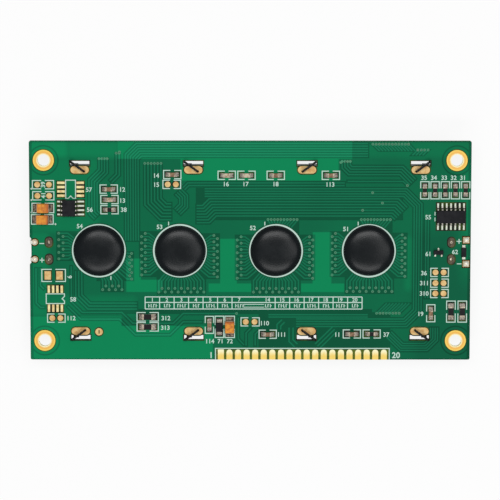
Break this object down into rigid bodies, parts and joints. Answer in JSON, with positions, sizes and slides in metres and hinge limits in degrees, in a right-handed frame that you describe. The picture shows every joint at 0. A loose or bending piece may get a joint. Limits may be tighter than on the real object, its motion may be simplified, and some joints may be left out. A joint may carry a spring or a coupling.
{
  "type": "graphic lcd module",
  "caption": "Flat display module: green circuit board with epoxy-covered driver chips and small parts, a black steel bezel with twisted tabs, and a backlit glass panel behind it.",
  "frame": {"origin": "middle of the front face of the bezel, which the module lies on", "axes": "+X along the board towards the right end as seen from the back, +Y towards its top edge, +Z from the bezel to the back of the board"},
  "size_m": [0.13, 0.065, 0.0123],
  "materials": {
    "board_green": "satin green coat",
    "filled_green": "satin green coat over copper",
    "track_green": "satin green coat over copper",
    "via_green": "satin green coat over copper",
    "white_print": "printed ink",
    "gold": "bright plated",
    "tan_finish": "dull plated",
    "solder": "bright solder",
    "mould_black": "matt moulded",
    "tinned": "tinned",
    "bezel_black": "satin black",
    "polariser": "clear satin film",
    "glass": "clear",
    "strip_rubber": "matt",
    "white_mould": "matt moulded",
    "clear_acrylic": "polished",
    "white_film": "matt film",
    "lamp_board": "white coat",
    "lamp": "clear resin",
    "capacitor_brown": "matt ceramic",
    "epoxy_black": "satin epoxy",
    "resistor_black": "glazed",
    "tantalum_orange": "matt moulded"
  },
  "bodies": {
    "root": {"amplifier_body": "mould_black", "amplifier_legs": "tinned", "backlight_frame": "white_mould", "backlight_leads": "tinned", "bare_pads": "tan_finish", "bezel": "bezel_black", "capacitor_1": "capacitor_brown", "capacitor_10": "capacitor_brown", "capacitor_11": "capacitor_brown", "capacitor_2": "capacitor_brown", "capacitor_3": "capacitor_brown", "capacitor_4": "capacitor_brown", "capacitor_5": "capacitor_brown", "capacitor_6": "capacitor_brown", "capacitor_7": "capacitor_brown", "capacitor_8": "capacitor_brown", "capacitor_9": "capacitor_brown", "circuit_board": "board_green", "copper_tracks": "track_green", "diffuser_sheet": "white_film", "diode": "mould_black", "driver_blob_1": "epoxy_black", "driver_blob_2": "epoxy_black", "driver_blob_3": "epoxy_black", "driver_blob_4": "epoxy_black", "edge_contacts": "gold", "front_glass": "glass", "front_polariser": "polariser", "ground_fill": "filled_green", "lamp_chips": "lamp", "left_lamp_board": "lamp_board", "legend_print": "white_print", "light_guide": "clear_acrylic", "logic_body": "mould_black", "logic_legs": "tinned", "lower_contact_strip": "strip_rubber", "moulded_capacitor": "mould_black", "mounting_eyelets": "gold", "plated_vias": "via_green", "rear_glass": "glass", "rear_polariser": "polariser", "reflector_sheet": "white_film", "resistor_1": "resistor_black", "resistor_10": "resistor_black", "resistor_11": "resistor_black", "resistor_2": "resistor_black", "resistor_3": "resistor_black", "resistor_4": "resistor_black", "resistor_5": "resistor_black", "resistor_6": "resistor_black", "resistor_7": "resistor_black", "resistor_8": "resistor_black", "resistor_9": "resistor_black", "right_lamp_board": "lamp_board", "solder_joints": "solder", "tantalum_1": "tantalum_orange", "tantalum_2": "tantalum_orange", "tantalum_3": "tantalum_orange", "transistor": "mould_black", "upper_contact_strip": "strip_rubber"}
  },
  "joints": []
}
